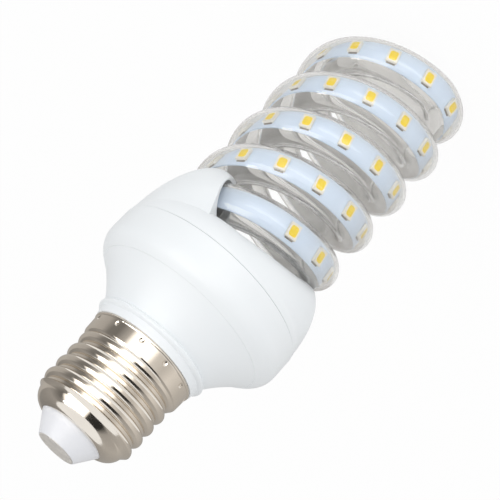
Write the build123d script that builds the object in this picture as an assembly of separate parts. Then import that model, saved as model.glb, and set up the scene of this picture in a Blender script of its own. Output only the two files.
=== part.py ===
from build123d import *
import os
from math import atan2, cos, degrees, pi, radians, sin, sqrt

# Spiral LED lamp with an E27 screw cap. It is drawn cap down, with heights from the face of the
# centre contact, and is turned over at the end, so that it stands on the flat crossing of its spiral.
# Angles are counted round the axis from the side that carries the first LEDs of leg A.

# Clearances
FIT = 0.05
TUBE_CLEARANCE = 0.45
BOND_CLEARANCE = 0.02
STRIP_EDGE_GAP = 0.12
LED_SEAT_GAP = 0.03

# Centre contact and insulator
CONTACT_R = 4.8
CONTACT_CROWN = 0.2
CONTACT_T = 0.8
CONTACT_STEM_R = 1.2
INSULATOR_TIP_LIP = 0.25
INSULATOR_TIP_H = 0.3
INSULATOR_H = 5.0
INSULATOR_PLUG_H = 3.0

# Screw shell
SHELL_H = 23.6
SHELL_WALL = 0.4
SHELL_SHOULDER_R = 4.0
SHELL_LIP_W = 3.65
THREAD_CREST_R = 13.12
THREAD_ROOT_R = 12.0
THREAD_PITCH = 3.63
THREAD_HALF_W = 1.55
THREAD_START = 1.2
THREAD_RUN_OUT = 4.4
THREAD_CREST_AT_FRONT = 10.98
COLLAR_H = 6.2
COLLAR_FLARE_H = 2.2
COLLAR_FLARE_W = 1.5
RIM_FLARE_W = 0.2
RIM_BEAD_R = 0.4
STAKE_COUNT = 12
STAKE_FIRST_ANGLE = -10.0
STAKE_R = 0.9
STAKE_DEPTH = 0.15
STAKE_DROP = 1.6

# Lower housing, with heights above the rim of the cap
SPIGOT_DEPTH = 4.4
SPIGOT_TAPER_H = 1.1
NECK_WALL = 1.4
NECK_LIP = 0.3
FLANGE_LIP = 1.6
FLANGE_SIDE_LIP = 0.7
FLANGE_SIDE_H = 1.9
FLANGE_H = 2.6
GROOVE_DEPTH = 0.7
GROOVE_H = 3.5
FLARE_H = 12.3
FLARE_INSET = 3.0
FLARE_SAG = 0.43
BAND_STEP = 0.25
BAND_R = 25.3
BAND_H = 14.6
BAND_ROUND = 5.0
HOUSING_H = 22.3
HOUSING_WALL = 1.9
BAND_WALL = 2.2

# Driver board and the ledge that carries it
BOARD_T = 1.6
BOARD_DEPTH = 5.3
BOARD_GAP = 0.2
LEDGE_W = 1.6
LEDGE_T = 1.4

# Upper cover
COVER_STEP = 0.1
COVER_WALL = 1.9
COVER_SPIGOT_WALL = 1.45
COVER_FLANGE_T = 1.3
PARTING_GAP = 0.12
DOME_H = 7.85
HOOD_STEP = 0.2
HOOD_RISE = 11.05
HOOD_SIDE = 1.7
HOOD_WALL = 1.6
HOOD_START_ANGLE = -196.0
HOOD_FULL_ANGLE = -80.0
HOOD_END_ANGLE = -24.0
HOOD_CLIMB_POWER = 1.65
HOOD_END_DROP = 1.5
HOOD_NARROW_ANGLE = -85.0
HOOD_SIDE_H = 0.5
HOOD_MOUTH_OUTSET = 6.6
HOOD_MOUTH_DROP = 1.0
HOOD_SECTION_COUNT = 8
MOUTH_ANGLE = -37.0
MOUTH_SLANT = 22.0
MOUTH_SKEW = 7.0
MOUTH_WALL_ANGLE = 18.0
MOUTH_DEPTH_ANGLE = 9.0
MOUTH_CLEARANCE = 0.7
CRADLE_END_ANGLE = 165.0
BOND_LOW_ANGLE = -53.0
BOND_HIGH_ANGLE = -47.0

# Glass spiral, with its height above the parting line
SPIRAL_R = 16.4
SPIRAL_PITCH = 26.86
TUBE_R = 4.8
TUBE_WALL = 0.8
LEG_RISE_AT_FRONT = 15.7
LEG_LOW_ANGLE = -150.0
LEG_TOP_ANGLE = 745.0
LEG_LENGTH_COUNT = 10
LEVEL_BEND_R = 10.0
CROSSING_LENGTH_COUNT = 3

# LED strips and LEDs
STRIP_DEPTH = 1.5
STRIP_T = 0.3
STRIP_TAIL = 3.4
STRIP_END_GAP = 12.0
LED_ACROSS = 3.5
LED_ALONG = 2.8
LED_H = 0.75
LED_WINDOW_ACROSS = 2.5
LED_WINDOW_ALONG = 2.0
LED_WINDOW_CORNER = 0.6
LED_WINDOW_T = 0.25
SOLDER_ALONG = 2.2
SOLDER_REACH = 0.3
SOLDER_H = 0.25
LED_SPACING = 8.48
LED_FIRST_ANGLE = 16.4

# Driver components
CAN_R = 4.0
CAN_H = 12.0
CAN_X = 6.2
CAN_EDGE = 0.5
SLEEVE_T = 0.2
SLEEVE_GAP = 0.01
SLEEVE_H = 10.2
SLEEVE_DROP = 0.6
CHOKE_R = 4.5
CHOKE_H = 10.0
CHOKE_WAIST_R = 2.0
CHOKE_FLANGE_T = 1.2
CHOKE_WINDING_R = 4.0
CHOKE_PLACE = (-6.5, 2.5)
LINE_CAP_SIZE = (10.0, 4.6, 8.5)
LINE_CAP_PLACE = (0.0, -9.5)
BRIDGE_SIZE = (4.7, 3.9, 2.4)
BRIDGE_PLACE = (-12.0, -4.0)
CHIP_SIZE = (4.9, 3.9, 1.5)
CHIP_PLACE = (4.0, -8.0)
PACKAGE_EDGE = 0.3
FUSE_R = 1.7
FUSE_H = 9.0
FUSE_EDGE = 0.8
FUSE_LEAD = 5.0
WIRE_R = 0.4
NEUTRAL_ANGLE = 112.0
NEUTRAL_BEND_R = 0.6
NEUTRAL_GAP = 0.2
STRIP_LEAD_SHARES = (0.35, 0.75)

# Heights and radii that follow from the sizes above
SHELL_LOW = INSULATOR_H
RIM_TOP = SHELL_LOW + SHELL_H
SHOULDER_R = THREAD_ROOT_R - SHELL_SHOULDER_R
SHELL_LIP_R = THREAD_ROOT_R - SHELL_LIP_W
SHOULDER_H = SHELL_LOW + sqrt(SHELL_SHOULDER_R**2 - (SHELL_LIP_R - SHOULDER_R) ** 2)
INSULATOR_BASE_R = SHELL_LIP_R - 2 * FIT
PLUG_TOP = SHELL_LOW + INSULATOR_PLUG_H
COLLAR_LOW = RIM_TOP - COLLAR_H
COLLAR_TOP = COLLAR_LOW + COLLAR_FLARE_H
BARREL_INNER_R = THREAD_ROOT_R - SHELL_WALL
COLLAR_R = THREAD_ROOT_R + COLLAR_FLARE_W
RIM_R = COLLAR_R + RIM_FLARE_W
NECK_BORE_R = THREAD_ROOT_R - NECK_WALL
SPIGOT_LOW = RIM_TOP - SPIGOT_DEPTH
FLARE_R = BAND_R - FLARE_INSET
PARTING_H = RIM_TOP + HOUSING_H
SEAT_R = BAND_R - BAND_WALL
BOARD_R = SEAT_R - BOARD_GAP
BOARD_LOW = PARTING_H - BOARD_DEPTH
BOARD_TOP = BOARD_LOW + BOARD_T
COVER_R = BAND_R - COVER_STEP
DOME_BASE = PARTING_H + PARTING_GAP
DOME_TOP = DOME_BASE + DOME_H
DOME_OUTSET = COVER_R - SPIRAL_R
HOOD_OUTSET = DOME_OUTSET - HOOD_STEP
HOOD_INSET = TUBE_R + HOOD_SIDE
BORE_R = TUBE_R - TUBE_WALL
STRIP_OFFSET = BORE_R - STRIP_DEPTH
STRIP_W = 2 * (sqrt(BORE_R**2 - STRIP_OFFSET**2) - STRIP_EDGE_GAP)
HELIX_SLOPE = atan2(SPIRAL_PITCH, 2 * pi * SPIRAL_R)
LEG_LENGTH_PER_DEGREE = sqrt((2 * pi * SPIRAL_R) ** 2 + SPIRAL_PITCH**2) / 360
STRIP_LOW_ANGLE = LEG_LOW_ANGLE - STRIP_TAIL / LEG_LENGTH_PER_DEGREE


def leg_height(angle):
    """Height of the centre line of leg A at an angle round the axis."""
    return PARTING_H + LEG_RISE_AT_FRONT + SPIRAL_PITCH * angle / 360


LEG_TOP = leg_height(LEG_TOP_ANGLE) + LEVEL_BEND_R * (1 - cos(HELIX_SLOPE))
BULB_LENGTH = LEG_TOP + TUBE_R
HOOD_TOP = leg_height(HOOD_FULL_ANGLE) + HOOD_RISE


def front_turn(angle):
    """Direction in the plan, in degrees from X, of an angle counted from the front."""
    return angle + 90


def outward(angle):
    """Level direction away from the axis at an angle."""
    turn = radians(front_turn(angle))
    return Vector(cos(turn), sin(turn), 0)


def forward(angle):
    """Level direction in which the angle grows."""
    turn = radians(front_turn(angle))
    return Vector(-sin(turn), cos(turn), 0)


def turned(profile):
    """Solid of revolution from a closed profile of radius and height."""
    return revolve(Plane.XZ * make_face(profile), Axis.Z)


def outline(*points):
    """Closed profile with straight sides."""
    return Polyline(*points, close=True)


def opposite(shape):
    """The same shape on the other leg, half a turn round the axis."""
    return Rot(Z=180) * shape


def leg_helix(low_angle, high_angle):
    """Centre line of leg A between two angles."""
    rise = leg_height(high_angle) - leg_height(low_angle)
    helix = Helix(pitch=SPIRAL_PITCH, height=rise, radius=SPIRAL_R)
    return Pos(Z=leg_height(low_angle)) * Rot(Z=front_turn(low_angle)) * helix


def tube_path(low_angle):
    """Half of the tube: leg A, a bend that levels it, and an arc in to the axis."""
    ahead = forward(LEG_TOP_ANGLE)
    leg_end = outward(LEG_TOP_ANGLE) * SPIRAL_R + Vector(0, 0, leg_height(LEG_TOP_ANGLE))
    climb = ahead * cos(HELIX_SLOPE) + Vector(0, 0, sin(HELIX_SLOPE))
    level = leg_end + ahead * (LEVEL_BEND_R * sin(HELIX_SLOPE))
    level = Vector(level.X, level.Y, LEG_TOP)
    bend = TangentArc(leg_end, level, tangent=climb)
    crossing = TangentArc(level, Vector(0, 0, LEG_TOP), tangent=ahead)
    return [leg_helix(low_angle, LEG_TOP_ANGLE), bend, crossing]


def across(path):
    """Plane square to the start of a path, with X pointing out from the axis and Y up the tube."""
    ahead = path % 0
    out = ahead.cross(Vector(0, 0, 1)).normalized()
    return Plane(origin=path @ 0, x_dir=out, z_dir=ahead)


def swept(section, edges):
    """One solid from a section that is carried along edges which run on smoothly."""
    runs = [sweep(across(edge) * section, path=edge, is_frenet=True) for edge in edges]
    whole = runs[0]
    for run in runs[1:]:
        whole += run
    return whole


def spread(low, high, count):
    """Evenly spaced values from low to high."""
    return [low + (high - low) * number / (count - 1) for number in range(count)]


def tube_lengths():
    """Half of the tube in short lengths: leg A by quarter turns, the bend, and its half of the crossing."""
    bend, crossing = tube_path(LEG_LOW_ANGLE)[1:]
    angles = spread(LEG_LOW_ANGLE, LEG_TOP_ANGLE, LEG_LENGTH_COUNT + 1)
    shares = spread(0, 1, CROSSING_LENGTH_COUNT + 1)
    leg = [leg_helix(low, high) for low, high in zip(angles, angles[1:])]
    return [*leg, bend, *(crossing.trim(low, high) for low, high in zip(shares, shares[1:]))]


def spiral_tube():
    """Glass tube in lengths that meet end to end: leg A, the level crossing through the axis, and leg B."""
    ring = Circle(TUBE_R) - Circle(BORE_R)
    half = [swept(ring, [edge]) for edge in tube_lengths()]
    return Compound(children=[length.solid() for length in [*half, *map(opposite, half)]])


def led_distances():
    """Distances of the LED centres along a strip, from its tail."""
    room = sum(edge.length for edge in tube_path(STRIP_LOW_ANGLE)) - STRIP_END_GAP
    first = (LED_FIRST_ANGLE - STRIP_LOW_ANGLE) * LEG_LENGTH_PER_DEGREE
    count = int((room - first) / LED_SPACING) + 1
    return [first + number * LED_SPACING for number in range(count)]


def led_strip():
    """Flexible board held by its edges in the bore of leg A, cut off after its last LED."""
    rest = led_distances()[-1] + LED_ALONG
    edges = []
    for edge in tube_path(STRIP_LOW_ANGLE):
        edges.append(edge if rest >= edge.length else edge.trim(0, rest / edge.length))
        rest -= edge.length
        if rest <= 0:
            break
    return swept(Pos(X=STRIP_OFFSET - STRIP_T / 2) * Rectangle(STRIP_T, STRIP_W), edges)


def led_frame(distance):
    """Seat of an LED on the strip: X along the strip, Y across it, Z out from the axis."""
    for edge in tube_path(STRIP_LOW_ANGLE):
        if distance <= edge.length:
            break
        distance -= edge.length
    place = edge.position_at(distance, position_mode=PositionMode.LENGTH)
    ahead = edge.tangent_at(distance, position_mode=PositionMode.LENGTH)
    out = ahead.cross(Vector(0, 0, 1)).normalized()
    return Plane(origin=place + out * (STRIP_OFFSET + LED_SEAT_GAP), x_dir=ahead, z_dir=out)


def led_window(thickness):
    """Yellow window of one LED, flush with the top of its body."""
    sketch = RectangleRounded(LED_WINDOW_ALONG, LED_WINDOW_ACROSS, LED_WINDOW_CORNER)
    return Pos(Z=LED_H - LED_WINDOW_T) * extrude(sketch, thickness)


def led_body():
    """White body of one LED, with the pocket for its window."""
    block = Pos(Z=LED_H / 2) * Box(LED_ALONG, LED_ACROSS, LED_H)
    return block - led_window(2 * LED_WINDOW_T)


def led_solder():
    """Solder fillets at the two ends of one LED, across the strip."""
    side = LED_ACROSS / 2 + LED_SEAT_GAP
    wedge = make_face(outline((side, 0), (side + SOLDER_REACH, 0), (side, SOLDER_H)))
    fillet_along = Pos(X=-SOLDER_ALONG / 2) * extrude(Plane.YZ * wedge, SOLDER_ALONG)
    return [fillet_along, opposite(fillet_along)]


def on_both_strips(pieces):
    """Copies of the pieces of one LED at every LED of both legs."""
    copies = [led_frame(distance) * piece for distance in led_distances() for piece in pieces]
    copies += [opposite(copy) for copy in copies]
    return Compound(children=[copy.solid() for copy in copies])


def centre_contact():
    """Crowned end plate with the stem that carries the live lead."""
    edge = CONTACT_CROWN
    crown = ThreePointArc((-CONTACT_R, edge), (0, 0), (CONTACT_R, edge)).trim(0.5, 1)
    sides = Polyline((CONTACT_R, edge), (CONTACT_R, CONTACT_T), (CONTACT_STEM_R, CONTACT_T),
                     (CONTACT_STEM_R, PLUG_TOP), (0, PLUG_TOP), (0, 0))
    return turned([crown, *sides.edges()])


def shoulder_arc(inset, start_r, end_h):
    """Round of the shell's closed end, moved in by an inset, from a radius up to a height."""
    radius = SHELL_SHOULDER_R - inset
    start = degrees(atan2(-sqrt(radius**2 - (start_r - SHOULDER_R) ** 2), start_r - SHOULDER_R))
    end = degrees(atan2(end_h - SHOULDER_H, sqrt(radius**2 - (end_h - SHOULDER_H) ** 2)))
    return CenterArc((SHOULDER_R, SHOULDER_H), radius, start, end - start)


def cap_insulator():
    """White cone with a pocket for the contact and a plug that seats inside the shell's lip."""
    pocket_r = CONTACT_R + FIT
    stem_r = CONTACT_STEM_R + FIT
    plug = shoulder_arc(SHELL_WALL + FIT, SHELL_LIP_R + 2 * FIT, PLUG_TOP)
    plug_low = plug @ 0
    plug_high = plug @ 1
    inside = Polyline(
        (plug_high.X, plug_high.Y),
        (stem_r, PLUG_TOP),
        (stem_r, CONTACT_T + FIT / 5),
        (pocket_r, CONTACT_T + FIT / 5),
        (pocket_r, INSULATOR_TIP_H),
        (CONTACT_R + INSULATOR_TIP_LIP, INSULATOR_TIP_H),
        (INSULATOR_BASE_R, SHELL_LOW),
        (INSULATOR_BASE_R, plug_low.Y),
        (plug_low.X, plug_low.Y),
    )
    return turned([plug, *inside.edges()])


def shell_outside():
    """Shell as a full body: rounded end, plain barrel, flared collar and rim."""
    shoulder = shoulder_arc(0, SHELL_LIP_R, SHOULDER_H)
    barrel = Line((THREAD_ROOT_R, SHOULDER_H), (THREAD_ROOT_R, COLLAR_LOW))
    collar = Spline((THREAD_ROOT_R, COLLAR_LOW), (COLLAR_R, COLLAR_TOP), tangents=[(0, 1), (0, 1)])
    sides = Polyline((COLLAR_R, COLLAR_TOP), (RIM_R, RIM_TOP), (0, RIM_TOP), (0, SHELL_LOW),
                     (SHELL_LIP_R, SHELL_LOW))
    return turned([shoulder, barrel, collar, *sides.edges()])


def collar_inner_r(height):
    """Inner radius of the shell where its collar flares."""
    return BARREL_INNER_R + COLLAR_FLARE_W * (height - COLLAR_LOW) / COLLAR_FLARE_H


def shell_hollow():
    """Space inside the shell, open at its lip and its rim."""
    shoulder = shoulder_arc(SHELL_WALL, SHELL_LIP_R, SHOULDER_H)
    lip_h = (shoulder @ 0).Y
    sides = Polyline(
        (BARREL_INNER_R, SHOULDER_H),
        (BARREL_INNER_R, COLLAR_LOW),
        (collar_inner_r(COLLAR_TOP), COLLAR_TOP),
        (RIM_R - SHELL_WALL, RIM_TOP),
        (RIM_R - SHELL_WALL, RIM_TOP + SHELL_WALL),
        (0, RIM_TOP + SHELL_WALL),
        (0, SHELL_LOW - SHELL_WALL),
        (SHELL_LIP_R, SHELL_LOW - SHELL_WALL),
        (SHELL_LIP_R, lip_h),
    )
    return turned([shoulder, *sides.edges()])


def thread_ridge():
    """Rounded thread that runs out on the shoulder at one end and into the collar at the other."""
    low = SHELL_LOW + THREAD_START
    base_r = THREAD_ROOT_R - SHELL_WALL / 2
    crest = ThreePointArc((base_r, -THREAD_HALF_W), (THREAD_CREST_R, 0), (base_r, THREAD_HALF_W))
    section = make_face([crest, Line((base_r, THREAD_HALF_W), (base_r, -THREAD_HALF_W))])
    helix = Helix(pitch=THREAD_PITCH, height=COLLAR_TOP - low, radius=THREAD_ROOT_R)
    start_angle = (THREAD_START - THREAD_CREST_AT_FRONT) / THREAD_PITCH * 360
    path = Pos(Z=low) * Rot(Z=front_turn(start_angle)) * helix
    ridge = sweep(across(path) * Pos(X=-THREAD_ROOT_R) * section, path=path, is_frenet=True)
    kept = turned(outline(
        (0, SHELL_LOW),
        (SHELL_LIP_R, SHELL_LOW),
        (THREAD_CREST_R + FIT, SHELL_LOW + THREAD_RUN_OUT),
        (THREAD_CREST_R + FIT, RIM_TOP),
        (0, RIM_TOP),
    ))
    return ridge & kept


def screw_shell():
    """Threaded shell with a rolled rim, staked round its collar onto the housing."""
    bead = Pos(Z=RIM_TOP - RIM_BEAD_R) * Torus(RIM_R - RIM_BEAD_R / 2, RIM_BEAD_R)
    shell = shell_outside() + thread_ridge() + bead - shell_hollow()
    stake = Pos(COLLAR_R + STAKE_R - STAKE_DEPTH, 0, RIM_TOP - STAKE_DROP) * Sphere(STAKE_R)
    for number in range(STAKE_COUNT):
        shell -= Rot(Z=front_turn(STAKE_FIRST_ANGLE + number * 360 / STAKE_COUNT)) * stake
    return shell


def lower_housing():
    """Moulded flare: spigot in the cap, flange, concave flare, band and the ledge for the board."""
    seat_h = RIM_TOP + FIT
    flange_r = RIM_R + FLANGE_LIP
    groove = (flange_r - GROOVE_DEPTH, RIM_TOP + GROOVE_H)
    flare_end = (FLARE_R, RIM_TOP + FLARE_H)
    band_start = (FLARE_R + BAND_STEP, RIM_TOP + FLARE_H)
    neck = Polyline(
        (NECK_BORE_R, SPIGOT_LOW),
        (THREAD_ROOT_R, SPIGOT_LOW),
        (COLLAR_R - SHELL_WALL - 2 * FIT, SPIGOT_LOW + SPIGOT_TAPER_H),
        (RIM_R - SHELL_WALL - 2 * FIT, seat_h),
        (RIM_R + NECK_LIP, seat_h),
    )
    side_top = (RIM_R + FLANGE_SIDE_LIP, RIM_TOP + FLANGE_SIDE_H)
    side = Line((RIM_R + NECK_LIP, seat_h), side_top)
    flange = Spline(side_top, (flange_r, RIM_TOP + FLANGE_H), groove)
    flare = SagittaArc(groove, flare_end, FLARE_SAG)
    step = Line(flare_end, band_start)
    band = FilletPolyline(band_start, (BAND_R, RIM_TOP + BAND_H), (BAND_R, PARTING_H), radius=BAND_ROUND)
    funnel_top = (FLARE_R - HOUSING_WALL, RIM_TOP + FLARE_H + HOUSING_WALL / 2)
    inside = Polyline(
        (BAND_R, PARTING_H),
        (SEAT_R, PARTING_H),
        (SEAT_R, BOARD_LOW),
        (BOARD_R - LEDGE_W, BOARD_LOW),
        (BOARD_R - LEDGE_W, BOARD_LOW - LEDGE_T),
        funnel_top,
    )
    funnel_low = (NECK_BORE_R, RIM_TOP + FLANGE_H)
    funnel = SagittaArc(funnel_top, funnel_low, -FLARE_SAG)
    bore = Line(funnel_low, (NECK_BORE_R, SPIGOT_LOW))
    return turned([*neck.edges(), side, flange, flare, step, *band.edges(), *inside.edges(), funnel, bore])


def dome_shell():
    """Cover without its hoods: spigot, seating flange and a rounded lid."""
    spigot_r = SEAT_R - FIT
    inner_top = DOME_TOP - COVER_WALL
    flange_top = DOME_BASE + COVER_FLANGE_T
    inner_outset = DOME_OUTSET - COVER_WALL
    round_out = EllipticalCenterArc((SPIRAL_R, DOME_BASE), DOME_OUTSET, DOME_H)
    round_in = EllipticalCenterArc((SPIRAL_R, flange_top), inner_outset, inner_top - flange_top)
    lid = Polyline((SPIRAL_R, DOME_TOP), (0, DOME_TOP), (0, inner_top), (SPIRAL_R, inner_top))
    wall = Polyline(
        (SPIRAL_R + inner_outset, flange_top),
        (spigot_r - COVER_SPIGOT_WALL, flange_top),
        (spigot_r - COVER_SPIGOT_WALL, BOARD_TOP + FIT),
        (spigot_r, BOARD_TOP + FIT),
        (spigot_r, DOME_BASE),
        (COVER_R, DOME_BASE),
    )
    return turned([round_out, *lid.edges(), round_in, *wall.edges()])


def hood_height(angle):
    """Top of a hood: it climbs out of the dome, ever more steeply, and dips to its mouth."""
    share = (angle - HOOD_START_ANGLE) / (HOOD_FULL_ANGLE - HOOD_START_ANGLE)
    climb = max(0.0, min(1.0, share)) ** HOOD_CLIMB_POWER
    past = max(0.0, angle - HOOD_FULL_ANGLE) / (MOUTH_ANGLE - HOOD_FULL_ANGLE)
    start = DOME_TOP - HOOD_STEP
    return start + climb * (HOOD_TOP - start) - HOOD_END_DROP * past * past


def hollow_height(angle):
    """Top of the hollow in a hood: a wall below its outside, and no higher than the tube needs."""
    head_room = TUBE_R + HOOD_WALL + TUBE_CLEARANCE
    return min(hood_height(angle) - HOOD_WALL, leg_height(angle) + head_room)


def towards_mouth(angle, along, at_mouth):
    """A size that holds along the hood and turns to another one at its mouth."""
    share = (angle - HOOD_NARROW_ANGLE) / (MOUTH_ANGLE - HOOD_NARROW_ANGLE)
    share = max(0.0, min(1.0, share))
    return along + (at_mouth - along) * share * share


def hood_section(angle, wall, inset, top, base):
    """Upright section of a hood at an angle, a wall inside it: two quarter ellipses on straight sides."""
    outset = towards_mouth(angle, HOOD_OUTSET, HOOD_MOUTH_OUTSET) - wall
    spring = towards_mouth(angle, base + HOOD_SIDE_H, leg_height(MOUTH_ANGLE) - HOOD_MOUTH_DROP)
    outer = EllipticalCenterArc((SPIRAL_R, spring), outset, top - spring)
    inner = EllipticalCenterArc((SPIRAL_R, spring), inset, top - spring, 90)
    sides = Polyline((SPIRAL_R - inset, spring), (SPIRAL_R - inset, base), (SPIRAL_R + outset, base),
                     (SPIRAL_R + outset, spring))
    upright = Plane(origin=(0, 0, 0), x_dir=outward(angle), z_dir=-forward(angle))
    return upright * make_face([outer, inner, *sides.edges()])


def hood():
    """Outside of the hood over the end of leg A, cut off on a slant at its mouth."""
    angles = spread(HOOD_START_ANGLE, HOOD_END_ANGLE, HOOD_SECTION_COUNT)
    body = loft([hood_section(angle, 0, HOOD_INSET, hood_height(angle), DOME_BASE) for angle in angles])
    slant = radians(MOUTH_SLANT)
    facing = forward(MOUTH_ANGLE + MOUTH_SKEW) * cos(slant) + Vector(0, 0, sin(slant))
    centre = outward(MOUTH_ANGLE) * SPIRAL_R + Vector(0, 0, leg_height(MOUTH_ANGLE))
    mouth = Plane(origin=centre, x_dir=outward(MOUTH_ANGLE + MOUTH_SKEW), z_dir=facing)
    reach = 2 * COVER_R
    beyond = mouth * Pos(Z=reach / 2) * Box(reach, reach, reach)
    return body - beyond


def hood_hollow():
    """Hollow of the hood, which stops at the wall round the mouth."""
    angles = spread(HOOD_START_ANGLE, MOUTH_ANGLE - MOUTH_WALL_ANGLE, HOOD_SECTION_COUNT)
    return loft([hood_section(angle, HOOD_WALL, HOOD_INSET - HOOD_WALL / 2, hollow_height(angle),
                              DOME_BASE + COVER_FLANGE_T)
                 for angle in angles])


def upper_cover():
    """Cover with its two hoods, cut clear of both legs of the tube."""
    room = swept(Circle(TUBE_R + TUBE_CLEARANCE), [leg_helix(HOOD_START_ANGLE, CRADLE_END_ANGLE)])
    mouth = leg_helix(MOUTH_ANGLE - MOUTH_DEPTH_ANGLE, HOOD_END_ANGLE)
    cover = dome_shell() + hood() + opposite(hood())
    for space in (hood_hollow(), room, swept(Circle(TUBE_R + MOUTH_CLEARANCE), [mouth])):
        cover = cover - space - opposite(space)
    return cover


def tube_bond():
    """Silicone collar that holds the glass in the mouth of each hood."""
    ring = Circle(TUBE_R + TUBE_CLEARANCE - BOND_CLEARANCE) - Circle(TUBE_R + BOND_CLEARANCE)
    collar = swept(ring, [leg_helix(BOND_LOW_ANGLE, BOND_HIGH_ANGLE)])
    return Compound(children=[collar.solid(), opposite(collar).solid()])


def driver_board():
    """Round board that rests on the housing's ledge."""
    return Pos(Z=BOARD_LOW + BOARD_T / 2) * Cylinder(BOARD_R, BOARD_T)


def bulk_capacitor():
    """Electrolytic can that hangs from the board."""
    can = Pos(CAN_X, 0, BOARD_LOW - CAN_H / 2) * Cylinder(CAN_R, CAN_H)
    return fillet(can.edges().sort_by(Axis.Z)[0], CAN_EDGE)


def bulk_capacitor_sleeve():
    """Sleeve shrunk round the can."""
    inner_r = CAN_R + SLEEVE_GAP
    ring = Circle(inner_r + SLEEVE_T) - Circle(inner_r)
    return Pos(CAN_X, 0, BOARD_LOW - SLEEVE_DROP - SLEEVE_H) * extrude(ring, SLEEVE_H)


def choke_core():
    """Ferrite drum: two flanges on a waist."""
    low = BOARD_LOW - CHOKE_H
    spool = turned(outline(
        (0, low),
        (CHOKE_R, low),
        (CHOKE_R, low + CHOKE_FLANGE_T),
        (CHOKE_WAIST_R, low + CHOKE_FLANGE_T),
        (CHOKE_WAIST_R, BOARD_LOW - CHOKE_FLANGE_T),
        (CHOKE_R, BOARD_LOW - CHOKE_FLANGE_T),
        (CHOKE_R, BOARD_LOW),
        (0, BOARD_LOW),
    ))
    return Pos(*CHOKE_PLACE) * spool


def choke_winding():
    """Copper winding between the drum's flanges."""
    low = BOARD_LOW - CHOKE_H + CHOKE_FLANGE_T + FIT
    high = BOARD_LOW - CHOKE_FLANGE_T - FIT
    ring = Circle(CHOKE_WINDING_R) - Circle(CHOKE_WAIST_R + FIT)
    return Pos(*CHOKE_PLACE, low) * extrude(ring, high - low)


def package(size, place, base):
    """Moulded block with softened upright edges."""
    width, depth, height = size
    block = Pos(*place, base + height / 2) * Box(width, depth, height)
    return chamfer(block.edges().filter_by(Axis.Z), PACKAGE_EDGE)


def fuse_resistor():
    """Fusible resistor on the axis, inside the cap."""
    body = Pos(Z=PLUG_TOP + FUSE_LEAD + FUSE_H / 2) * Cylinder(FUSE_R, FUSE_H)
    return fillet(body.edges().filter_by(GeomType.CIRCLE), FUSE_EDGE)


def wire(low, high):
    """Straight wire along the axis."""
    return Pos(Z=(low + high) / 2) * Cylinder(WIRE_R, high - low)


def live_lead():
    """From the contact's stem to the fusible resistor, and from there to the board."""
    to_fuse = wire(PLUG_TOP, PLUG_TOP + FUSE_LEAD)
    to_board = wire(PLUG_TOP + FUSE_LEAD + FUSE_H, BOARD_LOW)
    return Compound(children=[to_fuse.solid(), to_board.solid()])


def neutral_lead():
    """From the board down the neck, then out below the spigot to the shell."""
    lead_r = NECK_BORE_R - WIRE_R - NEUTRAL_GAP
    foot = SPIGOT_LOW - WIRE_R - 2 * FIT
    end_r = collar_inner_r(foot - WIRE_R) - FIT
    corners = [(lead_r, 0, BOARD_LOW), (lead_r, 0, foot), (end_r, 0, foot)]
    route = FilletPolyline(*corners, radius=NEUTRAL_BEND_R)
    lead = sweep(Plane(origin=route @ 0, z_dir=route % 0) * Circle(WIRE_R), path=route)
    return Rot(Z=NEUTRAL_ANGLE) * lead


def strip_leads():
    """Pairs of wires that stand on the board and lie against the bare tail of each strip."""
    lead_r = SPIRAL_R + STRIP_OFFSET - STRIP_T - WIRE_R - 2 * FIT
    leads = []
    for share in STRIP_LEAD_SHARES:
        angle = LEG_LOW_ANGLE + share * (STRIP_LOW_ANGLE - LEG_LOW_ANGLE)
        place = outward(angle) * lead_r
        lead = Pos(place.X, place.Y) * wire(BOARD_TOP, leg_height(angle) + STRIP_W / 4)
        leads += [lead, opposite(lead)]
    return Compound(children=[lead.solid() for lead in leads])


strip = led_strip()

NODES = {
    "screw_shell": screw_shell(),
    "cap_insulator": cap_insulator(),
    "centre_contact": centre_contact(),
    "lower_housing": lower_housing(),
    "upper_cover": upper_cover(),
    "spiral_tube": spiral_tube(),
    "led_strip_a": strip,
    "led_strip_b": opposite(strip),
    "led_packages": on_both_strips([led_body()]),
    "led_phosphors": on_both_strips([led_window(LED_WINDOW_T)]),
    "led_solder": on_both_strips(led_solder()),
    "tube_bond": tube_bond(),
    "driver_board": driver_board(),
    "bulk_capacitor": bulk_capacitor(),
    "bulk_capacitor_sleeve": bulk_capacitor_sleeve(),
    "line_capacitor": package(LINE_CAP_SIZE, LINE_CAP_PLACE, BOARD_LOW - LINE_CAP_SIZE[2]),
    "choke_core": choke_core(),
    "choke_winding": choke_winding(),
    "bridge_rectifier": package(BRIDGE_SIZE, BRIDGE_PLACE, BOARD_TOP),
    "driver_chip": package(CHIP_SIZE, CHIP_PLACE, BOARD_TOP),
    "fuse_resistor": fuse_resistor(),
    "live_lead": live_lead(),
    "neutral_lead": neutral_lead(),
    "strip_leads": strip_leads(),
}

# The finished lamp stands on its head, cap up
os.makedirs("parts", exist_ok=True)
for name, shape in NODES.items():
    export_step(Pos(Z=BULB_LENGTH) * Rot(X=180) * shape, f"parts/{name}.step")
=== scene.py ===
import bpy
from math import atan2, cos, pi, radians, sin
from mathutils import Matrix, Vector


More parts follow.
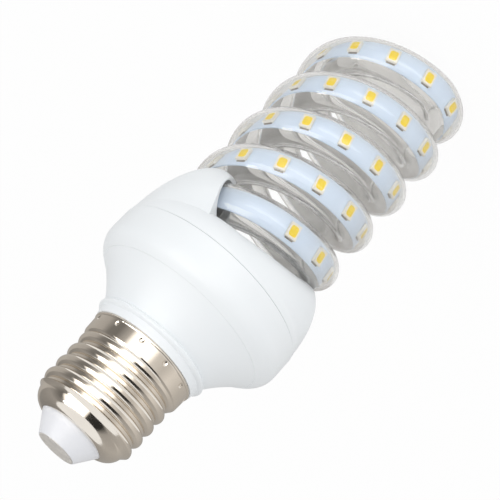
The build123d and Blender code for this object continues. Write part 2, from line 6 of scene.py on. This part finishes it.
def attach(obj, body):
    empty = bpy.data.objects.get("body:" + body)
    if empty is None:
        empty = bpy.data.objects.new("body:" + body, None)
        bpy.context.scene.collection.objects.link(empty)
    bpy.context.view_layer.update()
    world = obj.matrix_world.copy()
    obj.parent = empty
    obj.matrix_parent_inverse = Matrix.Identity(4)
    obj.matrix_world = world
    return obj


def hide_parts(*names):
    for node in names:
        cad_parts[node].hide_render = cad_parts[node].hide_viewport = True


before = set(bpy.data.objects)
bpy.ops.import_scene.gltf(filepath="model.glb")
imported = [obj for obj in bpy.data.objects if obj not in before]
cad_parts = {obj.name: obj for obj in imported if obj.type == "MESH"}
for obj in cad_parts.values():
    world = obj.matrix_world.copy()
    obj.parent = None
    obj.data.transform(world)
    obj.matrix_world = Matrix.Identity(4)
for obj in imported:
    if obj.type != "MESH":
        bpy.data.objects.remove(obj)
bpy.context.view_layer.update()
bpy.context.scene.view_settings.view_transform = "Standard"


# Screw shell: thin brass, drawn and rolled to a knuckle thread, then nickel plated. It is staked
# round its collar onto the housing. The plate is bright, with faint turning lines and dull patches.
class Flow:
    """A value on its way through a material's nodes, which takes the usual signs for sums."""

    def __init__(self, socket):
        self.socket = socket
        self.tree = socket.id_data

    def node(self, kind, inputs, output=0, stops=(), **settings):
        """An output of a new node, with plain values or other flows on its inputs."""
        made = self.tree.nodes.new(kind)
        for name, value in settings.items():
            setattr(made, name, value)
        for number, (position, colour) in enumerate(stops):
            ramp = made.color_ramp.elements
            stop = ramp[number] if number < len(ramp) else ramp.new(position)
            stop.position = position
            stop.color = colour
        for place, value in inputs.items():
            if isinstance(value, Flow):
                self.tree.links.new(value.socket, made.inputs[place])
            else:
                made.inputs[place].default_value = value
        return Flow(made.outputs[output])

    def sum(self, operation, first, second):
        return self.node("ShaderNodeMath", {0: first, 1: second}, operation=operation)

    def __add__(self, other):
        return self.sum("ADD", self, other)

    def __radd__(self, other):
        return self.sum("ADD", other, self)

    def __sub__(self, other):
        return self.sum("SUBTRACT", self, other)

    def __rsub__(self, other):
        return self.sum("SUBTRACT", other, self)

    def __mul__(self, other):
        return self.sum("MULTIPLY", self, other)

    def __rmul__(self, other):
        return self.sum("MULTIPLY", other, self)

    def __gt__(self, other):
        return self.sum("GREATER_THAN", self, other)

    def __lt__(self, other):
        return self.sum("LESS_THAN", self, other)

    def into(self, shader, socket):
        self.tree.links.new(self.socket, shader.inputs[socket])


def new_finish(name, constants):
    """A material with its shader's plain values set, and the flow of object coordinates in it."""
    material = bpy.data.materials.new(name)
    material.use_nodes = True
    shader = material.node_tree.nodes["Principled BSDF"]
    for socket, value in constants.items():
        shader.inputs[socket].default_value = value
    coordinates = material.node_tree.nodes.new("ShaderNodeTexCoord")
    return material, shader, Flow(coordinates.outputs["Object"])


def mottle(place, scale, low=0.0, high=1.0, detail=3.0):
    """Soft patches between two values, at so many to the metre."""
    patches = place.node("ShaderNodeTexNoise", {"Vector": place, "Scale": scale, "Detail": detail})
    spread = {"From Min": 0.3, "From Max": 0.7, "To Min": low, "To Max": high}
    return patches.node("ShaderNodeMapRange", {"Value": patches, **spread})


def drawn_out(place, x, y, z):
    """Coordinates stretched along the axes, so that patches turn into lines."""
    return place.node("ShaderNodeVectorMath", {0: place, 1: (x, y, z)}, operation="MULTIPLY")


MIX_FACTOR = 0
MIX_FIRST_COLOUR = 6
MIX_SECOND_COLOUR = 7
MIX_COLOUR_OUT = 2


def two_tone(share, first, second):
    """A colour between two colours, each a plain one or a flow."""
    inputs = {MIX_FACTOR: share}
    for place, colour in ((MIX_FIRST_COLOUR, first), (MIX_SECOND_COLOUR, second)):
        inputs[place] = colour if isinstance(colour, Flow) else (*colour, 1)
    return share.node("ShaderNodeMix", inputs, MIX_COLOUR_OUT, data_type="RGBA")


def rise(height, depth, strength):
    """The surface's direction over small rises of a depth in metres."""
    bump = {"Height": height, "Distance": depth, "Strength": strength}
    return height.node("ShaderNodeBump", bump, "Normal")


GLOSS_FINENESS = 2.3


def speckled(name, constants, scale, first, second, smooth, rough):
    """A material whose colour wanders in patches, so many to the metre, and its gloss in finer ones."""
    material, shader, place = new_finish(name, constants)
    two_tone(mottle(place, scale), first, second).into(shader, "Base Color")
    mottle(place, GLOSS_FINENESS * scale, smooth, rough).into(shader, "Roughness")
    return material, shader, place


MERGE_GAP = 0.000002


def smoothed(node, crease):
    """A node's copy in its place, its triangles joined and shaded smooth up to a crease."""
    bpy.ops.object.select_all(action="DESELECT")
    piece = bpy.data.objects.new(node + "_piece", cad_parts[node].data.copy())
    bpy.context.collection.objects.link(piece)
    bpy.context.view_layer.objects.active = piece
    piece.select_set(True)
    bpy.ops.mesh.customdata_custom_splitnormals_clear()
    bpy.ops.object.mode_set(mode="EDIT")
    bpy.ops.mesh.select_all(action="SELECT")
    bpy.ops.mesh.remove_doubles(threshold=MERGE_GAP)
    bpy.ops.object.mode_set(mode="OBJECT")
    bpy.ops.object.shade_smooth_by_angle(angle=radians(crease))
    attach(piece, "root")
    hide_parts(node)
    return piece


def coat(piece, material):
    """Gives a piece its one material."""
    piece.data.materials.clear()
    piece.data.materials.append(material)


nickel, shader, place = speckled(
    "nickel_plate",
    {"Metallic": 1.0},
    scale=160.0,
    first=(0.84, 0.79, 0.72),
    second=(0.79, 0.74, 0.67),
    smooth=0.09,
    rough=0.15,
)
turning_lines = mottle(drawn_out(place, x=30.0, y=30.0, z=2600.0), scale=1.0)
rise(turning_lines, depth=0.000006, strength=0.25).into(shader, "Normal")
coat(smoothed("screw_shell", crease=40), nickel)


# Insulator and contact: the white moulded cone that keeps the live contact off the shell, and the
# grey metal end plate pressed into it, scuffed by the socket's spring.
porcelain, _, _ = speckled(
    "white_insulator",
    {"IOR": 1.5},
    scale=260.0,
    first=(0.83, 0.84, 0.87),
    second=(0.80, 0.81, 0.85),
    smooth=0.36,
    rough=0.46,
)
coat(smoothed("cap_insulator", crease=35), porcelain)

tin, shader, place = speckled(
    "contact_metal",
    {"Metallic": 0.6},
    scale=500.0,
    first=(0.75, 0.73, 0.70),
    second=(0.67, 0.65, 0.62),
    smooth=0.4,
    rough=0.6,
)
scuffs = mottle(drawn_out(place, x=300.0, y=2400.0, z=300.0), scale=1.0)
rise(scuffs, depth=0.00001, strength=0.4).into(shader, "Normal")
coat(smoothed("centre_contact", crease=35), tin)


# Leads and fusible resistor: tinned wires from the contact and the shell to the driver, and from it
# to the two strips. The live one runs through a small coated resistor inside the cap, which burns
# out if the driver fails.
tinned, _, _ = speckled(
    "tinned_wire",
    {"Metallic": 1.0},
    scale=700.0,
    first=(0.66, 0.66, 0.66),
    second=(0.55, 0.55, 0.56),
    smooth=0.25,
    rough=0.4,
)
for node in ("live_lead", "neutral_lead", "strip_leads"):
    coat(smoothed(node, crease=40), tinned)

lacquer, shader, place = speckled(
    "resistor_lacquer",
    {"IOR": 1.5},
    scale=900.0,
    first=(0.16, 0.26, 0.20),
    second=(0.20, 0.31, 0.24),
    smooth=0.35,
    rough=0.5,
)
rise(mottle(place, scale=1400.0), depth=0.00003, strength=0.4).into(shader, "Normal")
coat(smoothed("fuse_resistor", crease=40), lacquer)


# Lower housing and upper cover: two white satin mouldings that snap together at the parting line,
# the cover with the two hoods that take the tube's ends. Fine mould grain, slightly cool white.
white, shader, place = speckled(
    "white_moulding",
    {"IOR": 1.48},
    scale=60.0,
    first=(0.86, 0.89, 0.91),
    second=(0.845, 0.877, 0.90),
    smooth=0.44,
    rough=0.54,
)
rise(mottle(place, scale=2600.0), depth=0.00001, strength=0.15).into(shader, "Normal")
coat(smoothed("lower_housing", crease=30), white)
coat(smoothed("upper_cover", crease=38), white)


# Driver: a round board with green resist, held on the housing's ledge. Its can, film capacitor and
# drum choke stand on it in the flare, and the rectifier and the chip lie on its other face, inside
# the cover.
TRACK_SHARE = 0.38
resist, shader, place = new_finish("green_resist", {"IOR": 1.5})
cells = {"Vector": place, "Scale": 260.0}
tracks = place.node("ShaderNodeTexVoronoi", cells, distance="MANHATTAN") < TRACK_SHARE
two_tone(tracks, (0.02, 0.12, 0.05), (0.05, 0.20, 0.09)).into(shader, "Base Color")
mottle(place, 700.0, low=0.3, high=0.45).into(shader, "Roughness")
rise(tracks, depth=0.00003, strength=0.5).into(shader, "Normal")
coat(smoothed("driver_board", crease=35), resist)

can_metal, shader, place = speckled(
    "drawn_aluminium",
    {"Metallic": 1.0},
    scale=400.0,
    first=(0.72, 0.73, 0.75),
    second=(0.66, 0.67, 0.69),
    smooth=0.25,
    rough=0.4,
)
drawing_lines = mottle(drawn_out(place, x=2000.0, y=2000.0, z=60.0), scale=1.0)
rise(drawing_lines, depth=0.00001, strength=0.4).into(shader, "Normal")
coat(smoothed("bulk_capacitor", crease=35), can_metal)

sleeve, _, _ = speckled(
    "shrunk_sleeve",
    {"IOR": 1.5},
    scale=300.0,
    first=(0.012, 0.014, 0.025),
    second=(0.02, 0.022, 0.035),
    smooth=0.2,
    rough=0.35,
)
coat(smoothed("bulk_capacitor_sleeve", crease=35), sleeve)

film_case, _, _ = speckled(
    "film_case",
    {"IOR": 1.5},
    scale=350.0,
    first=(0.62, 0.40, 0.02),
    second=(0.56, 0.35, 0.02),
    smooth=0.22,
    rough=0.36,
)
coat(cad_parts["line_capacitor"], film_case)

ferrite, shader, place = speckled(
    "sintered_ferrite",
    {"IOR": 1.6},
    scale=1800.0,
    first=(0.018, 0.018, 0.02),
    second=(0.035, 0.034, 0.034),
    smooth=0.5,
    rough=0.75,
)
rise(mottle(place, scale=3000.0), depth=0.00003, strength=0.6).into(shader, "Normal")
coat(smoothed("choke_core", crease=35), ferrite)

enamel, shader, place = speckled(
    "enamelled_copper",
    {"Metallic": 1.0},
    scale=300.0,
    first=(0.70, 0.32, 0.13),
    second=(0.58, 0.25, 0.10),
    smooth=0.22,
    rough=0.36,
)
turns = place.node("ShaderNodeTexWave", {"Vector": place, "Scale": 1300.0}, bands_direction="Z")
rise(turns, depth=0.00012, strength=0.8).into(shader, "Normal")
coat(smoothed("choke_winding", crease=35), enamel)

epoxy, shader, place = speckled(
    "moulded_epoxy",
    {"IOR": 1.5},
    scale=1500.0,
    first=(0.012, 0.012, 0.013),
    second=(0.022, 0.022, 0.023),
    smooth=0.5,
    rough=0.7,
)
rise(mottle(place, scale=4000.0), depth=0.00002, strength=0.5).into(shader, "Normal")
coat(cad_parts["bridge_rectifier"], epoxy)
coat(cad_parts["driver_chip"], epoxy)


# LED strips: pale flexible boards slid into the legs and held by their edges in the bore, bare grey
# foil on the back, its near-white colour partly its own pale tone and partly painted light against the
# shade inside the spiral. Each carries a row of white LED bodies with yellow phosphor windows, reflow
# soldered at their ends.
FOIL_METAL = 0.6
strip_face, shader, place = new_finish("strip_resist", {"IOR": 1.5})
facing = place.node("ShaderNodeNewGeometry", {}, "Normal")
from_axis = drawn_out(place, x=1.0, y=1.0, z=0.0)
away = facing.node("ShaderNodeVectorMath", {0: facing, 1: from_axis}, "Value",
                   operation="DOT_PRODUCT")
resist_faces = away > 0.0
resist_side = two_tone(mottle(place, scale=140.0), (0.68, 0.80, 0.96), (0.72, 0.83, 0.97))
# Partly painted light: the foil is coloured near white to lift the shade inside the spiral.
pale_foil_and_painted_light = two_tone(mottle(place, scale=140.0), (0.98, 0.98, 0.97), (0.95, 0.95, 0.94))
two_tone(resist_faces, pale_foil_and_painted_light, resist_side).into(shader, "Base Color")
(FOIL_METAL * (1.0 - resist_faces)).into(shader, "Metallic")
mottle(place, 500.0, low=0.3, high=0.45).into(shader, "Roughness")
coat(smoothed("led_strip_a", crease=30), strip_face)
coat(smoothed("led_strip_b", crease=30), strip_face)

body_white, _, _ = speckled(
    "led_moulding",
    {"IOR": 1.5},
    scale=600.0,
    first=(0.90, 0.86, 0.76),
    second=(0.86, 0.82, 0.72),
    smooth=0.35,
    rough=0.5,
)
coat(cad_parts["led_packages"], body_white)

phosphor, _, _ = speckled(
    "phosphor_gel",
    {"IOR": 1.45},
    scale=1500.0,
    first=(1.0, 0.76, 0.03),
    second=(0.98, 0.70, 0.02),
    smooth=0.12,
    rough=0.25,
)
coat(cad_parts["led_phosphors"], phosphor)

solder, _, _ = speckled(
    "reflowed_solder",
    {"Metallic": 1.0},
    scale=1200.0,
    first=(0.30, 0.27, 0.24),
    second=(0.24, 0.22, 0.20),
    smooth=0.25,
    rough=0.4,
)
coat(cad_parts["led_solder"], solder)


# Glass tube: one clear tube, softened and wound as a double spiral, level at its head, where it
# crosses the axis from one leg to the other. Its ends go into the hoods, held by silicone collars.
SPIRAL_R = 0.0164
TUBE_R = 0.0048
TUBE_WALL = 0.0008
TUBE_CREASE = 40
LEG_LOW_ANGLE = radians(-150)
LEG_TOP_ANGLE = radians(745)
LEG_Z_AT_FRONT = 0.060709
LEG_FALL_PER_TURN = 0.02686
BEND_R = 0.010
TUBE_SIDES = 40
LEG_STEPS = 180
BEND_STEPS = 4
CROSSING_STEPS = 34
END_REACH = 1.01 * TUBE_R
SEAM_GAP = 0.00002


def outward(angle):
    """Direction away from the axis, at an angle from the front."""
    return Vector((-sin(angle), -cos(angle), 0))


def ahead(angle):
    """Direction along a level turn, at an angle from the front."""
    return Vector((-cos(angle), sin(angle), 0))


slope = atan2(LEG_FALL_PER_TURN, 2 * pi * SPIRAL_R)
leg_fall = LEG_FALL_PER_TURN * (LEG_TOP_ANGLE - LEG_LOW_ANGLE) / (2 * pi)
leg_start = outward(LEG_LOW_ANGLE) * SPIRAL_R
leg_start.z = LEG_Z_AT_FRONT - LEG_FALL_PER_TURN * LEG_LOW_ANGLE / (2 * pi)
along = ahead(LEG_LOW_ANGLE) * cos(slope) - Vector((0, 0, sin(slope)))
bpy.ops.object.select_all(action="DESELECT")
bpy.ops.mesh.primitive_circle_add(vertices=TUBE_SIDES, radius=TUBE_R, location=leg_start,
                                  rotation=along.to_track_quat("Z", "Y").to_euler())
tube = bpy.context.object
tube.name = "spiral_glass"
bpy.ops.object.transform_apply(location=True, rotation=True, scale=True)
winding = tube.modifiers.new("winding", "SCREW")
winding.angle = -(LEG_TOP_ANGLE - LEG_LOW_ANGLE)
winding.screw_offset = -leg_fall
winding.steps = LEG_STEPS
winding.render_steps = LEG_STEPS
bpy.ops.object.modifier_apply(modifier="winding")

leg_end = outward(LEG_TOP_ANGLE) * SPIRAL_R
leg_end.z = leg_start.z - leg_fall
bend_reach = BEND_R * sin(slope)
level = leg_end + ahead(LEG_TOP_ANGLE) * bend_reach
level.z = leg_end.z - BEND_R * (1 - cos(slope))
bend_centre = level + Vector((0, 0, BEND_R))
crossing_r = (SPIRAL_R ** 2 + bend_reach ** 2) / (2 * SPIRAL_R)
crossing_centre = level - outward(LEG_TOP_ANGLE) * crossing_r
crossing_turn = 2 * (pi - atan2(SPIRAL_R, bend_reach))
bpy.ops.object.mode_set(mode="EDIT")
bpy.ops.mesh.select_mode(type="VERT")
bpy.ops.mesh.select_all(action="DESELECT")
bpy.ops.object.mode_set(mode="OBJECT")
for point in tube.data.vertices:
    point.select = (point.co - leg_end).length < END_REACH
bpy.ops.object.mode_set(mode="EDIT")
bpy.ops.mesh.select_mode(type="EDGE")
bpy.ops.mesh.spin(steps=BEND_STEPS, angle=slope, center=bend_centre, axis=outward(LEG_TOP_ANGLE))
bpy.ops.mesh.spin(steps=CROSSING_STEPS, angle=crossing_turn, center=crossing_centre, axis=(0, 0, 1))
bpy.ops.mesh.select_all(action="SELECT")
bpy.ops.mesh.duplicate()
bpy.ops.transform.rotate(value=pi, orient_axis="Z", center_override=(0, 0, 0))
bpy.ops.mesh.select_all(action="SELECT")
bpy.ops.mesh.remove_doubles(threshold=SEAM_GAP)
bpy.ops.mesh.normals_make_consistent(inside=False)
bpy.ops.object.mode_set(mode="OBJECT")
wall = tube.modifiers.new("wall", "SOLIDIFY")
wall.thickness = TUBE_WALL
wall.offset = -1.0
bpy.ops.object.modifier_apply(modifier="wall")
bpy.ops.object.shade_smooth_by_angle(angle=radians(TUBE_CREASE))

RIM_PAINTED_SHADE = 0.3
glass, shader, place = new_finish("clear_glass", {"Transmission Weight": 1.0, "IOR": 1.45})
clear = two_tone(mottle(place, scale=90.0), (0.996, 0.995, 0.992), (0.986, 0.984, 0.98))
clear.into(shader, "Base Color")
mottle(place, 240.0, low=0.0, high=0.02).into(shader, "Roughness")
rise(mottle(place, scale=110.0, detail=1.0), depth=0.00002, strength=0.1).into(shader, "Normal")
# Painted shade: a grey layer mixed in towards the grazing rims stands in for the darker rims that
# refraction gives the clear glass.
painted_rim_grey = {"Base Color": (0.72, 0.71, 0.69, 1), "Roughness": 0.3}
painted_rim_shade = place.node("ShaderNodeBsdfPrincipled", painted_rim_grey)
rims = place.node("ShaderNodeLayerWeight", {"Blend": 0.3}, "Facing")
layers = {0: rims * RIM_PAINTED_SHADE, 1: Flow(shader.outputs[0]), 2: painted_rim_shade}
glass_and_painted_rims = place.node("ShaderNodeMixShader", layers)
glass_and_painted_rims.into(place.tree.nodes["Material Output"], "Surface")
tube.visible_shadow = False
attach(tube, "root")
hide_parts("spiral_tube")
coat(tube, glass)

silicone, shader, place = speckled(
    "silicone_bond",
    {"IOR": 1.41},
    scale=400.0,
    first=(0.78, 0.81, 0.80),
    second=(0.72, 0.75, 0.74),
    smooth=0.35,
    rough=0.55,
)
rise(mottle(place, scale=600.0), depth=0.00005, strength=0.5).into(shader, "Normal")
coat(smoothed("tube_bond", crease=35), silicone)


# Studio: a white floor that keeps the bulb's shadow, a white sky, a wide low lamp in front and a
# small one high at the bulb's right. Round paper screens in taupe and white stand about it, and
# only reflections show them.
FLOOR_SIZE = 4.0
FLOOR_SHOWN = 0.955
SKY_LIGHT = 0.82


def shown(flow):
    """One on rays that look, from the camera, a gloss or the glass, and nought on rays that light."""
    from_camera = flow.node("ShaderNodeLightPath", {}, "Is Camera Ray")
    from_gloss = flow.node("ShaderNodeLightPath", {}, "Is Glossy Ray")
    through_glass = flow.node("ShaderNodeLightPath", {}, "Is Transmission Ray")
    return (from_camera + from_gloss + through_glass) > 0.0


bpy.ops.object.select_all(action="DESELECT")
bpy.ops.mesh.primitive_plane_add(size=FLOOR_SIZE)
floor = bpy.context.object
floor.name = "floor"
matt_white = {"Base Color": (0.9, 0.9, 0.9, 1), "Roughness": 0.9}
floor_white, shader, place = new_finish("floor_white", matt_white)
# Painted shade: rays through the glass see the floor grey rather than white, in place of the shade
# behind the tube.
through_glass = place.node("ShaderNodeLightPath", {}, "Is Transmission Ray")
floor_white_and_painted_shade = two_tone(through_glass, (1, 1, 1), (0.74, 0.73, 0.71))
glow = place.node("ShaderNodeEmission", {"Color": floor_white_and_painted_shade})
layers = {0: shown(place) * FLOOR_SHOWN, 1: Flow(shader.outputs[0]), 2: glow}
lit_floor = place.node("ShaderNodeMixShader", layers)
lit_floor.into(place.tree.nodes["Material Output"], "Surface")
floor.data.materials.append(floor_white)

studio = bpy.data.worlds.new("studio")
studio.use_nodes = True
sky = studio.node_tree.nodes["Background"]
sky.inputs["Color"].default_value = (1, 1, 1, 1)
looks = shown(Flow(sky.outputs[0]))
(SKY_LIGHT + (1.0 - SKY_LIGHT) * looks).into(sky, "Strength")
bpy.context.scene.world = studio

SCREEN_R = 0.16
SCREEN_STEP = 0.146
SCREEN_H = 0.32
SCREEN_SIDES = 120
PAPER_TINT = (1.0, 0.95, 0.89)


def screen(name, low, high, tones):
    """A round paper screen that only reflections show, its tones given at degrees from the front."""
    bpy.ops.object.select_all(action="DESELECT")
    bpy.ops.mesh.primitive_cylinder_add(vertices=SCREEN_SIDES, radius=SCREEN_R, depth=high - low,
                                        end_fill_type="NOTHING", location=(0, 0, (low + high) / 2))
    paper_ring = bpy.context.object
    paper_ring.name = name
    bpy.ops.object.transform_apply(location=True, rotation=True, scale=True)
    glowing = {"Base Color": (0, 0, 0, 1), "Specular IOR Level": 0.0, "Emission Strength": 1.0}
    paper, shader, place = new_finish(name + "_paper", glowing)
    quarter_turn = {"Vector": place, "Angle": pi / 2}
    turned = place.node("ShaderNodeVectorRotate", quarter_turn, rotation_type="Z_AXIS")
    angle = place.node("ShaderNodeTexGradient", {"Vector": turned}, "Fac", gradient_type="RADIAL")
    stops = []
    for degrees, tone in reversed(tones):
        colour = [tone * tint for tint in PAPER_TINT]
        stops.append((0.5 - degrees / 360, (*colour, 1)))
    angle.node("ShaderNodeValToRGB", {"Fac": angle}, stops=stops).into(shader, "Emission Color")
    paper_ring.data.materials.append(paper)
    paper_ring.visible_camera = False
    paper_ring.visible_diffuse = False
    paper_ring.visible_transmission = False
    paper_ring.visible_shadow = False


screen("low_screen", 0.0, SCREEN_STEP, [
    (-178, 0.4), (-130, 0.52), (-98, 0.45), (-82, 0.22), (-64, 0.2), (-42, 0.5), (-30, 2.0),
    (8, 2.0), (20, 0.75), (44, 0.6), (66, 0.8), (110, 0.56), (178, 0.34),
])
screen("high_screen", SCREEN_STEP, SCREEN_H, [
    (-178, 0.25), (-110, 0.36), (-70, 0.14), (-46, 5.0), (-14, 5.0),
    (2, 0.03), (42, 0.03), (60, 0.4), (120, 0.5), (178, 0.35),
])


def lamp(name, spot, target, width, height, radiance):
    """A flat lamp of a size in metres that faces a point, as bright over its face as given."""
    light = bpy.data.lights.new(name, "AREA")
    light.shape = "RECTANGLE"
    light.size = width
    light.size_y = height
    light.energy = radiance * pi * width * height
    holder = bpy.data.objects.new(name, light)
    bpy.context.collection.objects.link(holder)
    holder.location = spot
    holder.rotation_euler = (target - spot).to_track_quat("-Z", "Y").to_euler()


front_spot = Vector((0, -0.255, 0.04))
front_target = Vector((0, 0, 0.04))
lamp("front_lamp", front_spot, front_target, width=0.28, height=0.075, radiance=2.0)
SIDE_LAMP_DISTANCE = 0.25
middle = Vector((0, 0, 0.064))
side_direction = Vector((0.561, -0.286, 0.777))
side_spot = middle + SIDE_LAMP_DISTANCE * side_direction
lamp("side_lamp", side_spot, middle, width=0.05, height=0.06, radiance=6.0)

camera = bpy.data.cameras.new("camera")
camera.lens = 96.13
camera.sensor_width = 36.0
camera.clip_start = 0.01
viewer = bpy.data.objects.new("camera", camera)
bpy.context.collection.objects.link(viewer)
right = Vector((-0.72984, -0.26610, -0.62970))
up = Vector((0.68362, -0.28409, -0.67228))
back = right.cross(up)
viewer.matrix_world = Matrix((right, up, back)).transposed().to_4x4()
viewer.location = (-0.00132, -0.28885, 0.18405)
bpy.context.scene.camera = viewer
